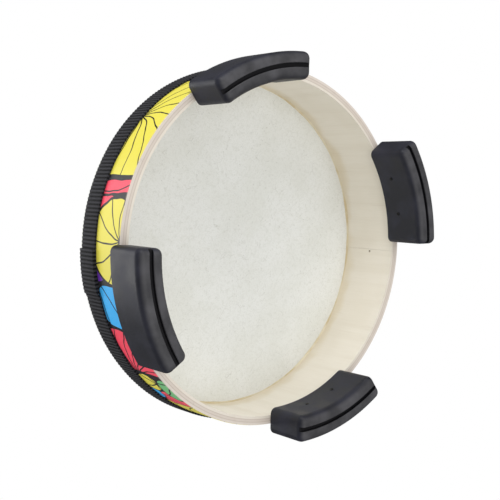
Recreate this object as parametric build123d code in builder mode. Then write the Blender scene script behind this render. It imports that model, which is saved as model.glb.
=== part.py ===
"""A child's 10 inch frame drum that stands on four rubber feet.

The drum stands with its feet on Z = 0 and its head on top. The origin is at the middle of the feet,
on the surface that the drum stands on. Everything is in millimetres and degrees.
"""

import os
from math import cos, degrees, radians, sin

from build123d import *

# Driving dimensions
shell_radius = 127.0  # outside of the plywood
shell_height = 50.0  # from the open rim up to the edge that the head is stretched over
ply_thickness = 2.0  # three plies make the 6 mm wall
foot_height = 34.0
foot_angles = (43.8, 134.8, 226.5, 315.0)  # set by hand, so a degree or so off the quarters
film_thickness = 0.4  # the drum head
webbing_width = 18.0
webbing_thickness = 1.4

# Heights worked out from them
rim = foot_height
bearing_edge = rim + shell_height
drum_top = bearing_edge + film_thickness

# Plywood shell
bearing_round = 1.5
seam_gap = 0.12
inner_seam, core_seam, outer_seam = 65.5, 186.0, 270.0
leg_half_angle = 14.0
leg_bottom = 10.0
shell_inside = shell_radius - 3 * ply_thickness

# Feet
foot_inside, foot_outside = 115.5, 134.5
foot_half_angle = 18.2
foot_corner_round = 4.5
foot_floor_round = 5.2
foot_rim_round = 1.2
groove_radius = 125.0
groove_width = 3.0
groove_depth = 2.4
groove_lip = 0.4

# Foot nails, and the pin at the seam
nail_spreads = (7.0, 6.3, 6.1, 5.6)  # by hand too, so each foot has its own
nail_height = rim - 13.0
nail_radius = 0.75
nail_head_radius = 1.3
nail_head_height = 0.7
nail_head_proud = 0.3
nail_length = 14.0
nail_tip = 2.0
pin_angle = 66.3
pin_height = rim + 24.0
pin_radius = 0.5
pin_length = 5.0
pin_head_radius = 0.8
pin_head_height = 0.5
pin_head_proud = 0.2
pin_tip = 1.0

# Print, head skirt, glue bead and webbing
wrap_thickness = 0.25
wrap_bottom = rim + 0.8
wrap_seam = 88.0
skirt_bottom = bearing_edge - 18.0
wrap_top = skirt_bottom - 0.5
bead_size = 1.6
webbing_top = bearing_edge - 3.2
webbing_bottom = webbing_top - webbing_width
webbing_inside = shell_radius + film_thickness
webbing_outside = webbing_inside + webbing_thickness
webbing_edge_round = 0.5
lap_start, lap_end = 229.5, 242.5


def sector(inner, outer, middle, half_angle):
    """A ring sector as a face: two arcs about the drum's axis, joined by radial edges."""
    with BuildSketch(mode=Mode.PRIVATE) as shape:
        with BuildLine():
            outside = CenterArc((0, 0), outer, middle - half_angle, 2 * half_angle)
            inside = CenterArc((0, 0), inner, middle - half_angle, 2 * half_angle)
            Line(outside @ 0, inside @ 0)
            Line(outside @ 1, inside @ 1)
        make_face()
    return shape.sketch


def radial_plane(radius, angle, height):
    """A plane on the wall at an angle and a height, with its normal pointing away from the axis."""
    out = Vector(cos(radians(angle)), sin(radians(angle)), 0)
    return Plane(origin=out * radius + Vector(0, 0, height), x_dir=(0, 0, 1), z_dir=out)


def bent_sheet(inner, outer, seam):
    """A sheet bent right round the axis, as a face, with a small gap where its two ends meet."""
    half_gap = degrees(seam_gap / 2 / outer)
    return sector(inner, outer, seam + 180, 180 - half_gap)


def nail(start, angle, height, radius, length, head_radius, head_height, tip):
    """A round nail driven outwards through the wall, with a flat head and a cone point."""
    head = radial_plane(start, angle, height)
    with BuildPart(mode=Mode.PRIVATE) as piece:
        with BuildSketch(head):
            Circle(head_radius)
        extrude(amount=head_height)
        with BuildSketch(head):
            Circle(radius)
        extrude(amount=length - tip)
        with BuildSketch(head.offset(length - tip)):
            Circle(radius)
        with BuildSketch(head.offset(length)):
            Circle(radius / 5)
        loft()
    return piece.part


def foot_nails(middle, spread):
    """The two nails of one foot, side by side, at an angle each way from its middle."""
    start = foot_inside - nail_head_proud
    return [
        nail(start, middle + side * spread, nail_height, nail_radius, nail_length,
             nail_head_radius, nail_head_height, nail_tip)
        for side in (-1, 1)
    ]


def save(piece, label):
    """Name a finished piece and write its STEP file."""
    piece.label = label
    export_step(piece, f"parts/{label}.step")


os.makedirs("parts", exist_ok=True)

# Nails first, because the plies and the feet are drilled by them.
nails = {middle: foot_nails(middle, spread) for middle, spread in zip(foot_angles, nail_spreads)}
all_nails = [one for pair in nails.values() for one in pair]

with BuildPart() as seam_pin:
    add(nail(shell_inside - pin_head_proud, pin_angle, pin_height, pin_radius, pin_length,
             pin_head_radius, pin_head_height, pin_tip))
save(seam_pin.part, "seam_pin")


# Shell: three bent plies. Each is a tube, cut away at its open end to leave four legs in the feet.
def bend_ply(inner, seam):
    """One ply, with its legs, its butt seam and the holes of the nails."""
    outer = inner + ply_thickness
    with BuildPart(mode=Mode.PRIVATE) as ply:
        with BuildSketch(Plane.XY.offset(leg_bottom)):
            add(bent_sheet(inner, outer, seam))
        extrude(amount=bearing_edge - leg_bottom)
        if outer == shell_radius:
            fillet(ply.edges().group_by(Axis.Z)[-1].sort_by(SortBy.LENGTH)[-1], bearing_round)
        for left, right in zip(foot_angles, foot_angles[1:] + (foot_angles[0] + 360,)):
            with BuildSketch(Plane.XY.offset(leg_bottom - 1)):
                add(sector(inner - 1, outer + 1, (left + right) / 2, (right - left) / 2 - leg_half_angle))
            extrude(amount=rim - leg_bottom + 1, mode=Mode.SUBTRACT)
        add(all_nails, mode=Mode.SUBTRACT)
        add(seam_pin.part, mode=Mode.SUBTRACT)
    return ply.part


with BuildPart() as shell_inner_ply:
    add(bend_ply(shell_inside, inner_seam))
save(shell_inner_ply.part, "shell_inner_ply")

with BuildPart() as shell_core_ply:
    add(bend_ply(shell_inside + ply_thickness, core_seam))
save(shell_core_ply.part, "shell_core_ply")

with BuildPart() as shell_outer_ply:
    add(bend_ply(shell_inside + 2 * ply_thickness, outer_seam))
save(shell_outer_ply.part, "shell_outer_ply")

# Feet: moulded rubber blocks with a blind slot for the leg and a groove along the floor face.
for number, middle in enumerate(foot_angles, start=1):
    with BuildPart() as foot:
        with BuildSketch():
            add(sector(foot_inside, foot_outside, middle, foot_half_angle))
        extrude(amount=foot_height)
        fillet(foot.edges().filter_by(Axis.Z), foot_corner_round)
        fillet(foot.faces().sort_by(Axis.Z)[0].edges(), foot_floor_round)
        fillet(foot.faces().sort_by(Axis.Z)[-1].edges(), foot_rim_round)
        with BuildSketch(Plane.XY.offset(leg_bottom)):
            add(sector(shell_inside, shell_radius, middle, leg_half_angle))
        extrude(amount=foot_height, mode=Mode.SUBTRACT)
        with BuildSketch(Plane.XZ):
            with BuildLine():
                Polyline(
                    (groove_radius - groove_width / 2 - groove_lip, 0),
                    (groove_radius - groove_width / 2, groove_lip),
                    (groove_radius - groove_width / 2, groove_depth),
                    (groove_radius + groove_width / 2, groove_depth),
                    (groove_radius + groove_width / 2, groove_lip),
                    (groove_radius + groove_width / 2 + groove_lip, 0),
                    close=True,
                )
            make_face()
        revolve(axis=Axis.Z, mode=Mode.SUBTRACT)
        add(nails[middle], mode=Mode.SUBTRACT)
    save(foot.part, f"foot_{number}")

    with BuildPart() as pair:
        add(nails[middle])
    save(pair.part, f"foot_{number}_nails")

# Printed sheet, wrapped round the shell from just above the rim to under the webbing.
with BuildPart() as printed_wrap:
    with BuildSketch(Plane.XY.offset(wrap_bottom)):
        add(bent_sheet(shell_radius, shell_radius + wrap_thickness, wrap_seam))
    extrude(amount=wrap_top - wrap_bottom)
save(printed_wrap.part, "printed_wrap")

# Head: one film, flat on top, round the bearing edge and down the outside as a skirt.
with BuildPart() as drum_head:
    with BuildSketch(Plane.XZ):
        with BuildLine():
            round_centre = (shell_radius - bearing_round, bearing_edge - bearing_round)
            inside = CenterArc(round_centre, bearing_round, 0, 90)
            outside = CenterArc(round_centre, bearing_round + film_thickness, 0, 90)
            Polyline(outside @ 1, (0, drum_top), (0, bearing_edge), inside @ 1)
            Polyline(
                inside @ 0,
                (shell_radius, skirt_bottom),
                (shell_radius + film_thickness, skirt_bottom),
                outside @ 0,
            )
        make_face()
    revolve(axis=Axis.Z)
save(drum_head.part, "drum_head")

# Bead of amber glue in the corner between the head and the inside of the shell.
with BuildPart() as head_glue_bead:
    with BuildSketch(Plane.XZ):
        with BuildLine():
            Polyline(
                (shell_inside, bearing_edge),
                (shell_inside - bead_size, bearing_edge),
                (shell_inside, bearing_edge - bead_size),
                close=True,
            )
        make_face()
    revolve(axis=Axis.Z)
save(head_glue_bead.part, "head_glue_bead")

# Webbing: a woven strap glued round the head end, with its tail lapped over its start.
with BuildPart() as edge_webbing:
    with BuildSketch(Plane.XZ) as section:
        with Locations(((webbing_inside + webbing_outside) / 2, (webbing_bottom + webbing_top) / 2)):
            Rectangle(webbing_thickness, webbing_width)
        fillet(section.vertices().group_by(Axis.X)[-1], webbing_edge_round)
    revolve(axis=Axis.Z)
    with BuildSketch(Plane.XY.offset(webbing_bottom + webbing_edge_round)):
        add(sector(webbing_inside + webbing_edge_round, webbing_outside + webbing_thickness,
                   (lap_start + lap_end) / 2, (lap_end - lap_start) / 2))
    extrude(amount=webbing_width - 2 * webbing_edge_round)
save(edge_webbing.part, "edge_webbing")
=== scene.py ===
"""The looks of a child's 10 inch frame drum: a plywood shell on four rubber feet, a film head under
a webbing band, and a bright printed sheet round the outside. The drum stands on its feet.
"""

from math import cos, pi, radians, sin, tau

import bmesh
import bpy
from mathutils import Matrix, Vector


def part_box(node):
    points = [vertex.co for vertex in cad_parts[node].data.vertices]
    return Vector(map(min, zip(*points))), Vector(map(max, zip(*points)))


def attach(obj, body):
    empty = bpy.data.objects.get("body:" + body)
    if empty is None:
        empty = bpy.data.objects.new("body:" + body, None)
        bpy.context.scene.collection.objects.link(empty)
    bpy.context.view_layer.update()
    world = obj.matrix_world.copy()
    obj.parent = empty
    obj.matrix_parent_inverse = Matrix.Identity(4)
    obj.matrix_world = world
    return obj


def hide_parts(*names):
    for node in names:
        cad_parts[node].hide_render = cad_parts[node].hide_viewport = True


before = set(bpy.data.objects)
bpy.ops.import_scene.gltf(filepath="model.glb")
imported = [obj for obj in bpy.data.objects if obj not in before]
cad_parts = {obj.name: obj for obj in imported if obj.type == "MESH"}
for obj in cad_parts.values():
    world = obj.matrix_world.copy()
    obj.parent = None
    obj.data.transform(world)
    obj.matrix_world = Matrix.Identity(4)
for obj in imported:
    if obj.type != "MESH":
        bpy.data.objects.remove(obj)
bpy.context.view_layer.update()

# ---------------------------------------------------------------------------------------------
# Studio: the drum is looked at from below its open side, as if it were held up by its head. The
# floor is pale from above and can't be seen from below. One softbox hangs over the side that is
# uppermost in this view, one stands below and faces the opening, and one is above the head.
# ---------------------------------------------------------------------------------------------
shell_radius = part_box("shell_outer_ply")[1].x
rim_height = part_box("foot_1")[1].z
rim_middle = Vector((0, 0, rim_height))

right = Vector((0.37716, 0.6842, -0.6242))
up = Vector((0.89799, -0.43507, 0.0657))
back = right.cross(up)
camera_place = Vector((-1.294, -3.258, -4.133))  # from the middle of the rim, in shell radii
camera_data = bpy.data.cameras.new("camera")
camera_data.lens = 69.76
camera_data.sensor_width = 36.0
camera_data.clip_start = 0.01
camera = bpy.data.objects.new("camera", camera_data)
turned = Matrix((right, up, back)).transposed().to_4x4()
camera.matrix_world = Matrix.Translation(rim_middle + shell_radius * camera_place) @ turned
bpy.context.scene.collection.objects.link(camera)
bpy.context.scene.camera = camera
bpy.context.scene.view_settings.view_transform = "Standard"


def softbox(name, direction, distance, size, power):
    """A square area light that hangs in a direction from the drum and faces it."""
    data = bpy.data.lights.new(name, "AREA")
    data.size = size
    data.energy = power
    light = bpy.data.objects.new(name, data)
    towards = Vector(direction).normalized()
    light.location = rim_middle + towards * distance
    light.rotation_mode = "QUATERNION"
    light.rotation_quaternion = towards.to_track_quat("Z", "Y")
    light.visible_camera = False
    bpy.context.scene.collection.objects.link(light)


softbox("key_softbox", up * 0.9 + back * 0.5, 0.9, 0.45, 3.5)
softbox("opening_softbox", (-0.1, -0.1, -1.0), 1.1, 0.9, 4.0)
softbox("top_softbox", (-0.2, -0.55, 1.0), 1.1, 0.8, 6.5)


def feed(tree, socket, value):
    """Link another node's output to a socket, or give the socket a plain value."""
    if isinstance(value, bpy.types.NodeSocket):
        tree.links.new(value, socket)
    else:
        socket.default_value = value


def add(tree, kind, inputs=(), **settings):
    """Put a node in a tree. An input is another node's output socket, or a plain value."""
    node = tree.nodes.new("ShaderNode" + kind)
    for name, value in settings.items():
        setattr(node, name, value)
    for socket, value in dict(inputs).items():
        feed(tree, node.inputs[socket], value)
    return node


def new_material(name):
    """An empty material. Returns it and its tree."""
    material = bpy.data.materials.new(name)
    material.use_nodes = True
    material.node_tree.nodes.clear()
    return material, material.node_tree


# The camera sees a plain white backdrop. The light that reaches the drum from all round is dimmer
# than that, and dimmer still in reflections.
white = (1, 1, 1, 1)
fill_strength, glossy_strength = 0.74, 0.2
world = bpy.data.worlds.new("white studio")
world.use_nodes = True
bpy.context.scene.world = world
sky = world.node_tree
sky.nodes.clear()
ray = add(sky, "LightPath").outputs
dimmer = add(sky, "MapRange", {
    "Value": ray["Is Glossy Ray"], "To Min": fill_strength, "To Max": glossy_strength,
})
fill = add(sky, "Background", {"Color": white, "Strength": dimmer.outputs[0]})
backdrop = add(sky, "Background", {"Color": white, "Strength": 1.0})
chooser = add(sky, "MixShader", {0: ray["Is Camera Ray"], 1: fill.outputs[0], 2: backdrop.outputs[0]})
add(sky, "OutputWorld", {"Surface": chooser.outputs[0]})

floor_radius = 2.5
fade_start, fade_end = 0.25, 1.6
shape = bmesh.new()
bmesh.ops.create_circle(shape, cap_ends=True, segments=96, radius=floor_radius)
floor_mesh = bpy.data.meshes.new("floor")
shape.to_mesh(floor_mesh)
shape.free()
floor = bpy.data.objects.new("floor", floor_mesh)
bpy.context.scene.collection.objects.link(floor)
floor.visible_diffuse = False
floor.visible_glossy = False
floor.visible_transmission = False
floor.visible_shadow = False
paper, tree = new_material("pale floor")
matt = add(tree, "BsdfDiffuse", {"Color": (0.88, 0.88, 0.88, 1)})
clear = add(tree, "BsdfTransparent")
from_below = add(tree, "NewGeometry").outputs["Backfacing"]
floor_spot = add(tree, "TexCoord").outputs["Object"]
from_middle = add(tree, "VectorMath", {0: floor_spot}, operation="LENGTH").outputs["Value"]
fade_range = {"Value": from_middle, "From Min": fade_start, "From Max": fade_end}
faded = add(tree, "MapRange", fade_range, interpolation_type="SMOOTHSTEP").outputs[0]
hidden = add(tree, "Math", {0: from_below, 1: faded}, operation="MAXIMUM").outputs[0]
either = add(tree, "MixShader", {0: hidden, 1: matt.outputs[0], 2: clear.outputs[0]})
add(tree, "OutputMaterial", {"Surface": either.outputs[0]})
floor_mesh.materials.append(paper)

# ---------------------------------------------------------------------------------------------
# Shell: three sheets of pale birch veneer, bent round and glued one on the other to a 6 mm wall.
# Each sheet has its own butt seam and four legs that run down inside the rubber feet. The cut
# edge of the rim shows the three sheets, with a thin glue line between them.
# ---------------------------------------------------------------------------------------------
ply_radii = [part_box(name)[1].x for name in ("shell_inner_ply", "shell_core_ply", "shell_outer_ply")]
wall_inside = ply_radii[0] - (ply_radii[2] - ply_radii[1])
bearing_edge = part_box("shell_outer_ply")[1].z


def colour(red, green, blue):
    """A screen colour, 0 to 255, as the linear colour that a shader takes."""
    parts = [value / 255 for value in (red, green, blue)]
    return (*[p / 12.92 if p <= 0.04045 else ((p + 0.055) / 1.055) ** 2.4 for p in parts], 1.0)


def maths(tree, operation, *values):
    """The result of one Math node."""
    return add(tree, "Math", enumerate(values), operation=operation).outputs[0]


def ramp(tree, value, low, high, start=0.0, end=1.0):
    """A value taken smoothly from low..high to start..end, and held at the ends."""
    inputs = {0: value, 1: low, 2: high, 3: start, 4: end}
    return add(tree, "MapRange", inputs, interpolation_type="SMOOTHSTEP").outputs[0]


def blend(tree, mask, under, over):
    """One colour laid over another through a mask."""
    node = add(tree, "Mix", {"Factor": mask}, data_type="RGBA")
    feed(tree, node.inputs[6], under)
    feed(tree, node.inputs[7], over)
    return node.outputs[2]


def noise(tree, vector, scale, detail=3.0, roughness=0.5):
    """Soft noise from 0 to 1 on a position in millimetres."""
    inputs = {"Vector": vector, "Scale": scale, "Detail": detail, "Roughness": roughness}
    return add(tree, "TexNoise", inputs).outputs[0]


def new_group(name, inputs, outputs):
    """An empty node group with named sockets. Returns its tree, its inputs and its output node."""
    tree = bpy.data.node_groups.new(name, "ShaderNodeTree")
    for direction, sockets in (("INPUT", inputs), ("OUTPUT", outputs)):
        for socket, kind in sockets.items():
            tree.interface.new_socket(socket, in_out=direction, socket_type="NodeSocket" + kind)
    entry = tree.nodes.new("NodeGroupInput").outputs
    return tree, entry, tree.nodes.new("NodeGroupOutput")


def place(tree, group, inputs=()):
    """Put a node group in a material and return its outputs."""
    node = tree.nodes.new("ShaderNodeGroup")
    node.node_tree = group
    for socket, value in dict(inputs).items():
        feed(tree, node.inputs[socket], value)
    return node.outputs


def surface(tree, inputs, bump_height, bump_distance):
    """Finish a material with a Principled shader and a fine bump."""
    shader = add(tree, "BsdfPrincipled", inputs)
    bump = add(tree, "Bump", {"Height": bump_height, "Strength": 1.0, "Distance": bump_distance})
    tree.links.new(bump.outputs[0], shader.inputs["Normal"])
    out = add(tree, "OutputMaterial")
    tree.links.new(shader.outputs[0], out.inputs["Surface"])


def drum_coordinates_group():
    """Where a point is on the drum: its position, distance from the axis, angle and height."""
    tree, _, out = new_group(
        "drum coordinates",
        {},
        {"Position": "Vector", "Radius": "Float", "Angle": "Float", "Height": "Float"},
    )
    place_m = add(tree, "TexCoord").outputs["Object"]
    place_mm = add(tree, "VectorMath", {0: place_m, "Scale": 1000.0}, operation="SCALE").outputs[0]
    x, y, z = add(tree, "SeparateXYZ", {0: place_mm}).outputs
    across = maths(tree, "ADD", maths(tree, "MULTIPLY", x, x), maths(tree, "MULTIPLY", y, y))
    results = {
        "Position": place_mm,
        "Radius": maths(tree, "SQRT", across),
        "Angle": maths(tree, "DEGREES", maths(tree, "ARCTAN2", y, x)),
        "Height": z,
    }
    for name, result in results.items():
        tree.links.new(result, out.inputs[name])
    return tree


def veneer_group():
    """Pale sliced veneer: fine grain that runs up the wall, soft blotches and small dark flecks."""
    tree, given, out = new_group(
        "veneer",
        {"Position": "Vector", "Light": "Color", "Dark": "Color", "Grain": "Float"},
        {"Colour": "Color", "Height": "Float"},
    )
    stretch = {0: given["Position"], 1: (1.0, 1.0, 0.035)}  # draws the grain out up the wall
    along = add(tree, "VectorMath", stretch, operation="MULTIPLY").outputs[0]
    fine = noise(tree, along, 1.6, 4.0, 0.6)
    broad = noise(tree, along, 0.16, 3.0)
    blotch = noise(tree, given["Position"], 0.028, 2.0)
    fleck = ramp(tree, noise(tree, along, 0.9, 1.0), 0.69, 0.76)
    grain = maths(tree, "MULTIPLY", ramp(tree, fine, 0.35, 0.75), given["Grain"])
    toned = blend(tree, grain, given["Light"], given["Dark"])
    streaks = maths(tree, "MULTIPLY", ramp(tree, broad, 0.4, 0.75), 0.35)
    toned = blend(tree, streaks, toned, given["Dark"])
    blotches = maths(tree, "MULTIPLY", ramp(tree, blotch, 0.45, 0.7), 0.3)
    toned = blend(tree, blotches, toned, given["Dark"])
    toned = blend(tree, maths(tree, "MULTIPLY", fleck, 0.06), toned, colour(150, 120, 85))
    tree.links.new(toned, out.inputs["Colour"])
    tree.links.new(fine, out.inputs["Height"])
    return tree


drum_coordinates = drum_coordinates_group()
veneer = veneer_group()


def veneer_material(name, light, dark):
    """Wood of one ply, with thin glue lines between the plies and a glue stain and painted shade under
    the head.
    """
    material, tree = new_material(name)
    spot = place(tree, drum_coordinates)
    wood = place(tree, veneer, {
        "Position": spot["Position"], "Light": light, "Dark": dark, "Grain": 0.2,
    })
    toned = wood["Colour"]
    for radius in ply_radii[:2]:
        gap = maths(tree, "ABSOLUTE", maths(tree, "SUBTRACT", spot["Radius"], radius * 1000))
        glue_line = ramp(tree, gap, 0.12, 0.42, 0.5, 0.0)
        toned = blend(tree, glue_line, toned, colour(158, 136, 120))
    # A tan band under the head, where the wall meets it: partly a real glue stain and partly painted
    # shade in that corner.
    wander = maths(tree, "MULTIPLY", noise(tree, spot["Position"], 0.032, 3.0), 26.0)
    reach = maths(tree, "ADD", spot["Height"], wander)
    edge = bearing_edge * 1000
    glue_stain_and_corner_shade = ramp(tree, reach, edge + 2.0, edge + 11.0, 0.0, 0.42)
    toned = blend(tree, glue_stain_and_corner_shade, toned, colour(216, 198, 158))
    rim = rim_height * 1000
    cut_edge = ramp(tree, spot["Height"], rim, rim + 0.4, 0.45, 0.0)
    toned = blend(tree, cut_edge, toned, colour(192, 182, 170))
    finish = {"Base Color": toned, "Roughness": 0.62, "Specular IOR Level": 0.3}
    surface(tree, finish, wood["Height"], 0.00006)
    return material


def finish_node(node, material):
    """Give a carried-over CAD node its material."""
    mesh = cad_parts[node].data
    mesh.materials.clear()
    mesh.materials.append(material)


veneer_tones = {
    "inner": (colour(240, 234, 221), colour(226, 218, 201)),
    "core": (colour(222, 212, 202), colour(204, 189, 174)),
    "outer": (colour(230, 221, 212), colour(214, 202, 190)),
}
for ply, (light, dark) in veneer_tones.items():
    finish_node(f"shell_{ply}_ply", veneer_material(f"{ply} veneer", light, dark))

# ---------------------------------------------------------------------------------------------
# Seam pin: a small steel pin beside the butt seam of the inner sheet. It held the sheet's end down
# while the glue set, and it stays in the wall, dull and a little stained with glue.
# ---------------------------------------------------------------------------------------------


def wire_steel(name, dull, rubbed, metallic):
    """Drawn wire with a dull skin, brighter rubbed spots and a little rust."""
    material, tree = new_material(name)
    spot = place(tree, drum_coordinates)
    worn = ramp(tree, noise(tree, spot["Position"], 1.8, 4.0), 0.5, 0.68)
    rust = ramp(tree, noise(tree, spot["Position"], 0.9, 2.0), 0.6, 0.7, 0.0, 0.35)
    toned = blend(tree, worn, dull, rubbed)
    toned = blend(tree, rust, toned, colour(96, 62, 42))
    rough = ramp(tree, worn, 0.0, 1.0, 0.55, 0.34)
    surface(tree, {"Base Color": toned, "Metallic": metallic, "Roughness": rough}, worn, 0.00003)
    return material


finish_node("seam_pin", wire_steel("dull steel", colour(128, 116, 100), colour(176, 166, 150), 0.4))

# ---------------------------------------------------------------------------------------------
# Drum head: one disc of off-white fibre film, stretched over the shell's top edge, folded down
# the outside as a skirt and glued there. Short dark fibres are pressed into the film.
# ---------------------------------------------------------------------------------------------
head_low, head_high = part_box("drum_head")
film = head_high.z - bearing_edge
bearing_round = 0.0015
smooth_angle = radians(40.0)  # sharper corners than this keep their edge


def turned_piece(name, outline, rounds=(), steps=256):
    """A ring or disc spun from an outline of (radius, height) points, some of them rounded."""
    shape = bmesh.new()
    points = [shape.verts.new((radius, 0, height)) for radius, height in outline]
    edges = [shape.edges.new((a, b)) for a, b in zip(points, points[1:] + points[:1])]
    for index, size in rounds:
        bmesh.ops.bevel(
            shape, geom=[points[index]], offset=size, offset_type="OFFSET", segments=5,
            profile=0.5, affect="VERTICES", material=-1,
        )
    rest = shape.verts[:] + shape.edges[:]
    bmesh.ops.spin(
        shape, geom=rest, cent=(0, 0, 0), axis=(0, 0, 1), angle=tau, steps=steps, use_merge=True,
    )
    bmesh.ops.remove_doubles(shape, verts=shape.verts, dist=0.000002)
    bmesh.ops.dissolve_degenerate(shape, edges=shape.edges, dist=0.000001)
    bmesh.ops.recalc_face_normals(shape, faces=shape.faces)
    mesh = bpy.data.meshes.new(name)
    shape.to_mesh(mesh)
    shape.free()
    mesh.shade_smooth()
    mesh.set_sharp_from_angle(angle=smooth_angle)
    piece = bpy.data.objects.new(name, mesh)
    bpy.context.scene.collection.objects.link(piece)
    return piece


def fibre_film():
    """Matt film with pressed fibres: tiny specks, a few large ones, short hairs, faint clouds."""
    material, tree = new_material("fibre film")
    spot = place(tree, drum_coordinates)
    drift = noise(tree, spot["Position"], 0.35, 2.0)
    moved = add(tree, "VectorMath", {0: spot["Position"], 1: drift}, operation="ADD").outputs[0]
    clouds = ramp(tree, noise(tree, spot["Position"], 0.03, 4.0), 0.35, 0.7)
    toned = blend(tree, clouds, colour(232, 233, 229), colour(226, 227, 221))
    fine = noise(tree, spot["Position"], 1.1, 4.0, 0.7)
    toned = blend(tree, ramp(tree, fine, 0.45, 0.72, 0.0, 0.5), toned, colour(206, 207, 199))
    pulp = noise(tree, spot["Position"], 0.32, 4.0, 0.65)
    toned = blend(tree, ramp(tree, pulp, 0.48, 0.7, 0.0, 0.4), toned, colour(210, 211, 203))
    density = ramp(tree, noise(tree, spot["Position"], 0.012, 1.0), 0.35, 0.65, 0.12, 0.4)
    # Three sizes of speck: how close they lie, how large each is in its cell, and how dark.
    for scale, size, strength in ((0.5, 0.24, 0.22), (0.27, 0.17, 0.3), (0.1, 0.05, 0.45)):
        cell = add(tree, "TexVoronoi", {"Vector": moved, "Scale": scale, "Randomness": 1.0})
        pick = add(tree, "SeparateColor", {0: cell.outputs["Color"]}).outputs[0]
        chosen = maths(tree, "LESS_THAN", pick, density)
        near = ramp(tree, cell.outputs["Distance"], size * 0.5, size, 1.0, 0.0)
        mask = maths(tree, "MULTIPLY", maths(tree, "MULTIPLY", near, chosen), strength)
        toned = blend(tree, mask, toned, colour(150, 150, 140))
    hair = add(tree, "TexVoronoi", {"Vector": moved, "Scale": 0.11, "Randomness": 1.0},
               feature="DISTANCE_TO_EDGE").outputs["Distance"]
    broken = ramp(tree, noise(tree, spot["Position"], 0.14, 2.0), 0.56, 0.62)
    hairs = maths(tree, "MULTIPLY", ramp(tree, hair, 0.0, 0.022, 1.0, 0.0), broken)
    toned = blend(tree, maths(tree, "MULTIPLY", hairs, 0.3), toned, colour(158, 156, 144))
    surface(tree, {"Base Color": toned, "Roughness": 0.5, "Specular IOR Level": 0.35}, fine, 0.00005)
    return material


outside = shell_radius + film
head = turned_piece(
    "fibre_head",
    [(0, bearing_edge), (shell_radius, bearing_edge), (shell_radius, head_low.z),
     (outside, head_low.z), (outside, head_high.z), (0, head_high.z)],
    rounds=[(1, bearing_round), (4, bearing_round + film)],
)
head.data.materials.append(fibre_film())
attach(head, "root")
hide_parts("drum_head")

# ---------------------------------------------------------------------------------------------
# Glue bead: amber wood glue, run by hand into the corner between the head and the wall. It set
# hard and glossy, and its width wanders a little.
# ---------------------------------------------------------------------------------------------
bead_size = bearing_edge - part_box("head_glue_bead")[0].z
bead = turned_piece(
    "amber_glue_bead",
    [(wall_inside, bearing_edge), (wall_inside - bead_size, bearing_edge),
     (wall_inside, bearing_edge - bead_size)],
    steps=360,
)
for vertex in bead.data.vertices:
    reach = wall_inside - Vector(vertex.co[:2]).length
    drop = bearing_edge - vertex.co.z
    turn = Vector((vertex.co.x, vertex.co.y)).angle_signed(Vector((1, 0)), 0)
    spread = 0.6 + 0.16 * sin(7 * turn + 1.0) + 0.08 * sin(23 * turn) + 0.04 * sin(61 * turn + 2.0)
    if reach > bead_size / 2:
        vertex.co.xy *= (wall_inside - reach * spread) / (wall_inside - reach)
    if drop > bead_size / 2:
        vertex.co.z = bearing_edge - drop * spread
material, tree = new_material("amber glue")
spot = place(tree, drum_coordinates)
thick = ramp(tree, noise(tree, spot["Position"], 0.09, 3.0), 0.35, 0.68)
toned = blend(tree, thick, colour(222, 212, 186), colour(206, 188, 148))
surface(tree, {"Base Color": toned, "Roughness": 0.35, "Coat Weight": 0.1}, thick, 0.0001)
bead.data.materials.append(material)
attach(bead, "root")
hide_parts("head_glue_bead")

# ---------------------------------------------------------------------------------------------
# Printed sheet: a thin plastic-coated paper, glued round the outside from the rim to under the
# webbing. It is printed with rounded fans and leaves in bright inks, each with a heavy black line
# round it and fine black veins, and the design repeats three times round the drum.
# ---------------------------------------------------------------------------------------------
wrap_low, wrap_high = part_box("printed_wrap")
wrap_thickness = 0.00025
repeat_angle = 120.0
yellow = colour(230, 219, 84)
red = colour(250, 78, 100)
blue = colour(66, 180, 248)
green = colour(120, 196, 130)
purple = colour(104, 52, 168)
ink = colour(40, 38, 42)


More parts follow.
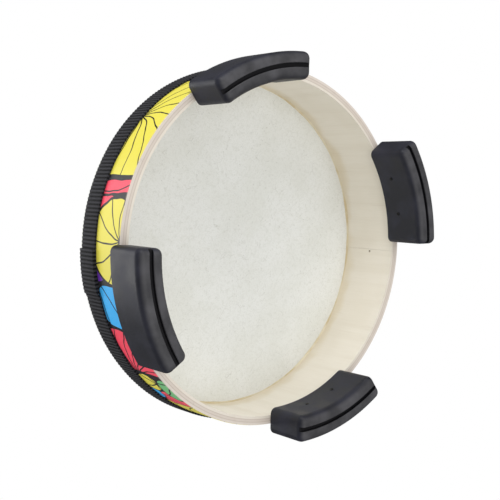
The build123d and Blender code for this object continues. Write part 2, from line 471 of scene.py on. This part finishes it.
def printed_shape_group():
    """One printed shape: a rounded block or an ellipse of ink with a black outline and veins."""
    tree, given, out = new_group(
        "printed shape",
        {"Under": "Color", "Fill": "Color", "Angle": "Float", "Height": "Float", "Wobble": "Vector",
         "Middle Angle": "Float", "Middle Height": "Float", "Half Width": "Float",
         "Half Height": "Float", "Turn": "Float", "Squareness": "Float", "Outline": "Float",
         "Hub Across": "Float", "Hub Up": "Float", "Vein Step": "Float"},
        {"Colour": "Color"},
    )
    aside = maths(tree, "SUBTRACT", given["Angle"], given["Middle Angle"])
    aside = maths(tree, "WRAP", aside, repeat_angle / 2, -repeat_angle / 2)
    across = maths(tree, "MULTIPLY", aside, pi / 180 * shell_radius * 1000)
    upward = maths(tree, "SUBTRACT", given["Height"], given["Middle Height"])
    flat = add(tree, "CombineXYZ", {0: across, 1: upward, 2: 0.0}).outputs[0]
    flat = add(tree, "VectorMath", {0: flat, 1: given["Wobble"]}, operation="ADD").outputs[0]
    turn = {"Vector": flat, "Angle": given["Turn"]}
    own = add(tree, "VectorRotate", turn, rotation_type="Z_AXIS").outputs[0]
    x, y, _ = add(tree, "SeparateXYZ", {0: own}).outputs
    far_x = maths(tree, "DIVIDE", maths(tree, "ABSOLUTE", x), given["Half Width"])
    far_y = maths(tree, "DIVIDE", maths(tree, "ABSOLUTE", y), given["Half Height"])
    power = given["Squareness"]
    total = maths(tree, "ADD", maths(tree, "POWER", far_x, power), maths(tree, "POWER", far_y, power))
    level = maths(tree, "POWER", total, maths(tree, "DIVIDE", 1.0, power))
    length = add(tree, "VectorMath", {0: own}, operation="LENGTH").outputs["Value"]
    level = maths(tree, "MAXIMUM", level, 0.02)
    past_edge = maths(tree, "SUBTRACT", 1.0, maths(tree, "DIVIDE", 1.0, level))
    distance = maths(tree, "MULTIPLY", length, past_edge)
    blur = 0.12
    past_outline = maths(tree, "SUBTRACT", distance, given["Outline"])
    ink_mask = ramp(tree, past_outline, -blur, blur, 1.0, 0.0)
    fill_mask = ramp(tree, distance, -blur, blur, 1.0, 0.0)
    hub_x = maths(tree, "SUBTRACT", x, given["Hub Across"])
    hub_y = maths(tree, "SUBTRACT", y, given["Hub Up"])
    spoke = maths(tree, "SQRT", maths(tree, "ADD", maths(tree, "MULTIPLY", hub_x, hub_x),
                                      maths(tree, "MULTIPLY", hub_y, hub_y)))
    vein_curl = maths(tree, "MULTIPLY", spoke, 0.009)
    bearing = maths(tree, "ADD", maths(tree, "ARCTAN2", hub_y, hub_x), vein_curl)
    part = maths(tree, "FRACT", maths(tree, "DIVIDE", bearing, given["Vein Step"]))
    from_vein = maths(tree, "ABSOLUTE", maths(tree, "SUBTRACT", part, 0.5))
    off = maths(tree, "MULTIPLY", from_vein, given["Vein Step"])
    vein_mask = ramp(tree, maths(tree, "MULTIPLY", off, spoke), 0.42, 0.62, 1.0, 0.0)
    toned = blend(tree, ink_mask, given["Under"], ink)
    filled = blend(tree, vein_mask, given["Fill"], ink)
    tree.links.new(blend(tree, fill_mask, toned, filled), out.inputs["Colour"])
    return tree


printed_shape = printed_shape_group()
# Each shape: fill, (middle angle, height above the rim), (half width, half height), turn,
# squareness, outline, (vein hub across, up from the shape's middle), degrees between veins.
# Sizes are in millimetres and angles in degrees.
shapes = (
    (yellow, (285.6, 15), (45.5, 26), 0, 8.0, 1.6, (2, 17), 21),
    (red, (189.4, 10), (9.0, 17), -10, 3.0, 1.3, (6, 17), 26),
    (blue, (192.0, 29), (9, 7), -8, 2.2, 1.2, (9, 6), 40),
    (yellow, (197, 22), (7.5, 10), 0, 2.4, 1.2, (0, -9), 46),
    (green, (194.5, 4), (11, 8), 12, 2.4, 1.2, (9, -6), 44),
    (red, (210, 16), (17.5, 24), 3, 7.0, 1.4, (-22, 8), 16),
    (blue, (225.6, 14), (14.5, 17), 0, 3.2, 1.5, (17, 19), 34),
    (purple, (234.6, 30), (4, 7), 0, 2.2, 1.0, (30, 0), 90),
    (red, (261.2, 15), (4.3, 30), -4, 7.0, 1.5, (5, -24), 22),
    (red, (255.0, 28), (6.5, 16), -12, 2.4, 1.3, (30, 0), 90),
    (yellow, (245.3, 8), (27, 25), 0, 2.5, 1.9, (0, -7), 30),
)
wrap = turned_piece(
    "printed_sheet",
    [(shell_radius, wrap_low.z), (shell_radius + wrap_thickness, wrap_low.z),
     (shell_radius + wrap_thickness, wrap_high.z), (shell_radius, wrap_high.z)],
)
material, tree = new_material("printed sheet")
spot = place(tree, drum_coordinates)
waver = add(tree, "TexNoise", {"Vector": spot["Position"], "Scale": 0.06, "Detail": 1.0})
wobble = add(tree, "VectorMath", {0: waver.outputs["Color"], 1: (0.5, 0.5, 0.5)}, operation="SUBTRACT")
wobble = add(tree, "VectorMath", {0: wobble.outputs[0], "Scale": 5.0}, operation="SCALE").outputs[0]
above_rim = maths(tree, "SUBTRACT", spot["Height"], rim_height * 1000)
toned = ink
for fill_ink, middle, half, turn, squareness, outline, hub, vein_step in shapes:
    toned = place(tree, printed_shape, {
        "Under": toned, "Fill": fill_ink, "Angle": spot["Angle"], "Height": above_rim,
        "Wobble": wobble, "Middle Angle": middle[0], "Middle Height": middle[1],
        "Half Width": half[0], "Half Height": half[1], "Turn": radians(turn), "Squareness": squareness,
        "Outline": outline, "Hub Across": hub[0], "Hub Up": hub[1], "Vein Step": radians(vein_step),
    })["Colour"]
mottle = noise(tree, spot["Position"], 0.5, 3.0)
toned = blend(tree, ramp(tree, mottle, 0.45, 0.7, 0.0, 0.02), toned, colour(255, 255, 255))
scuff = ramp(tree, above_rim, 0.8, 2.0, 0.35, 0.0)
toned = blend(tree, maths(tree, "MULTIPLY", scuff, mottle), toned, colour(225, 215, 200))
rough = ramp(tree, mottle, 0.3, 0.7, 0.36, 0.46)
surface(tree, {"Base Color": toned, "Roughness": rough, "Specular IOR Level": 0.15}, mottle, 0.00002)
wrap.data.materials.append(material)
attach(wrap, "root")
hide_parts("printed_wrap")

# ---------------------------------------------------------------------------------------------
# Edge webbing: black ribbed polypropylene strap, glued round the head end over the skirt. It is
# laid out flat here, ribbed across its width, and bent round the shell once and a little more, so
# that its heat-cut tail lies on top of its start.
# ---------------------------------------------------------------------------------------------
webbing_low, webbing_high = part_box("edge_webbing")
strap_inside = shell_radius + film
strap_thickness = webbing_high.x - strap_inside
strap_width = webbing_high.z - webbing_low.z
lap_start, lap_end = 229.5, 242.5
rib_count = 307
steps_per_rib = 6
rib_depth = 0.00042
edge_round = 0.0005
inset = 0.00022  # keeps the wandering edges inside the strap's width
climb = 1.6  # degrees over which the tail rises onto the start
strap_turn = 360.0 + lap_end - lap_start
strap_steps = round(rib_count * steps_per_rib * strap_turn / 360.0)

shape = bmesh.new()
bmesh.ops.create_cube(shape, size=1.0)
bmesh.ops.translate(shape, verts=shape.verts, vec=(0.5, 0.5, 0.5))
# Flat, X is the run in degrees round the shell, Y the thickness and Z the width.
bmesh.ops.scale(shape, verts=shape.verts, vec=(strap_turn, strap_thickness, strap_width))


def lengthwise_edges():
    """The edges that run from one end of the flat strap to the other."""
    return [edge for edge in shape.edges if abs(edge.verts[0].co.x - edge.verts[1].co.x) > 1]


outer_edges = [
    edge for edge in lengthwise_edges() if all(v.co.y > strap_thickness / 2 for v in edge.verts)
]
bmesh.ops.bevel(
    shape, geom=outer_edges, offset=edge_round, offset_type="OFFSET", segments=3, profile=0.5,
    affect="EDGES", material=-1,
)
long_edges = lengthwise_edges()
bmesh.ops.subdivide_edges(shape, edges=long_edges, cuts=strap_steps - 1, use_grid_fill=True)
for vertex in shape.verts:
    run, out, height = vertex.co
    angle = radians(lap_start + run)
    ridge = abs(sin(angle * rib_count / 2))
    lift = 0.0
    if run > 360.0 - climb:
        lift = strap_thickness * min(1.0, (run - 360.0 + climb) / climb)
    outer = out > strap_thickness / 2
    radius = strap_inside + lift + (out - rib_depth * (1 - ridge) if outer else out)
    wander = 0.00012 * sin(5 * angle) + 0.00008 * sin(17 * angle + 1)
    level = webbing_low.z + inset + wander + height * (1 - 4 * inset / strap_width)
    vertex.co = (radius * cos(angle), radius * sin(angle), level)
bmesh.ops.recalc_face_normals(shape, faces=shape.faces)
strap_mesh = bpy.data.meshes.new("ribbed_webbing")
shape.to_mesh(strap_mesh)
shape.free()
strap_mesh.shade_smooth()
strap_mesh.set_sharp_from_angle(angle=radians(60.0))
strap = bpy.data.objects.new("ribbed_webbing", strap_mesh)
bpy.context.scene.collection.objects.link(strap)

material, tree = new_material("black webbing")
spot = place(tree, drum_coordinates)
turns = maths(tree, "MULTIPLY", maths(tree, "RADIANS", spot["Angle"]), rib_count / 2)
ridge = maths(tree, "ABSOLUTE", maths(tree, "SINE", turns))
yarn = maths(tree, "SINE", maths(tree, "ADD", maths(tree, "MULTIPLY", spot["Height"], 9.0),
                                 maths(tree, "MULTIPLY", turns, 4.0)))
fuzz = noise(tree, spot["Position"], 1.4, 4.0, 0.7)
# The ridges of the ribs are painted lighter and the valleys darker: a painted highlight on the ridges
# and painted shade between them.
toned = blend(tree, ramp(tree, ridge, 0.45, 0.95), colour(5, 5, 7), colour(54, 54, 58))
twist = maths(tree, "MULTIPLY", ramp(tree, yarn, -1.0, 1.0), 0.14)
toned = blend(tree, twist, toned, colour(74, 74, 80))
toned = blend(tree, ramp(tree, fuzz, 0.55, 0.8, 0.0, 0.14), toned, colour(84, 84, 90))
bumps = maths(tree, "ADD", maths(tree, "MULTIPLY", yarn, 0.5), fuzz)
surface(
    tree,
    {"Base Color": toned, "Roughness": 0.75, "Specular IOR Level": 0.12, "Sheen Weight": 0.02},
    bumps, 0.00008,
)
strap_mesh.materials.append(material)
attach(strap, "root")
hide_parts("edge_webbing")

# ---------------------------------------------------------------------------------------------
# Feet: four blocks of moulded black rubber on the open rim. Each has a blind slot for the shell's
# leg and a groove along its floor face, and its skin is slightly bloomed.
# ---------------------------------------------------------------------------------------------
groove_radius, groove_half, groove_depth = 125.0, 1.5, 2.4  # millimetres


def moulded_rubber():
    """Charcoal rubber: satin skin, faint bloom, a fine pebble, and dust low on the floor face."""
    material, tree = new_material("moulded rubber")
    spot = place(tree, drum_coordinates)
    cloud = noise(tree, spot["Position"], 0.07, 4.0)
    pebble = noise(tree, spot["Position"], 2.4, 3.0, 0.6)
    toned = blend(tree, ramp(tree, cloud, 0.35, 0.7), colour(33, 34, 42), colour(43, 44, 56))
    toned = blend(tree, ramp(tree, pebble, 0.55, 0.75, 0.0, 0.18), toned, colour(60, 60, 68))
    floor_dust = maths(tree, "MULTIPLY", ramp(tree, spot["Height"], 0.0, 2.5, 0.4, 0.0), cloud)
    toned = blend(tree, floor_dust, toned, colour(130, 128, 124))
    aside = maths(tree, "ABSOLUTE", maths(tree, "SUBTRACT", spot["Radius"], groove_radius))
    shade = maths(tree, "MULTIPLY", ramp(tree, aside, groove_half, groove_half + 0.4, 1.0, 0.0),
                  ramp(tree, spot["Height"], 0.2, groove_depth * 0.7))
    above_groove = ramp(tree, spot["Height"], groove_depth, groove_depth + 1.0, 1.0, 0.0)
    shade = maths(tree, "MULTIPLY", shade, above_groove)
    toned = blend(tree, shade, toned, colour(16, 16, 20))
    rough = ramp(tree, cloud, 0.3, 0.7, 0.42, 0.54)
    finish = {"Base Color": toned, "Roughness": rough, "Specular IOR Level": 0.28}
    surface(tree, finish, pebble, 0.00005)
    return material


rubber = moulded_rubber()
for number in (1, 2, 3, 4):
    finish_node(f"foot_{number}", rubber)

# ---------------------------------------------------------------------------------------------
# Foot nails: two dark steel nails through the inner face of each foot into the leg behind it.
# Their small flat heads stand just proud of the rubber.
# ---------------------------------------------------------------------------------------------
blackened_steel = wire_steel("blackened steel", colour(26, 25, 26), colour(74, 72, 70), 0.85)
for number in (1, 2, 3, 4):
    finish_node(f"foot_{number}_nails", blackened_steel)
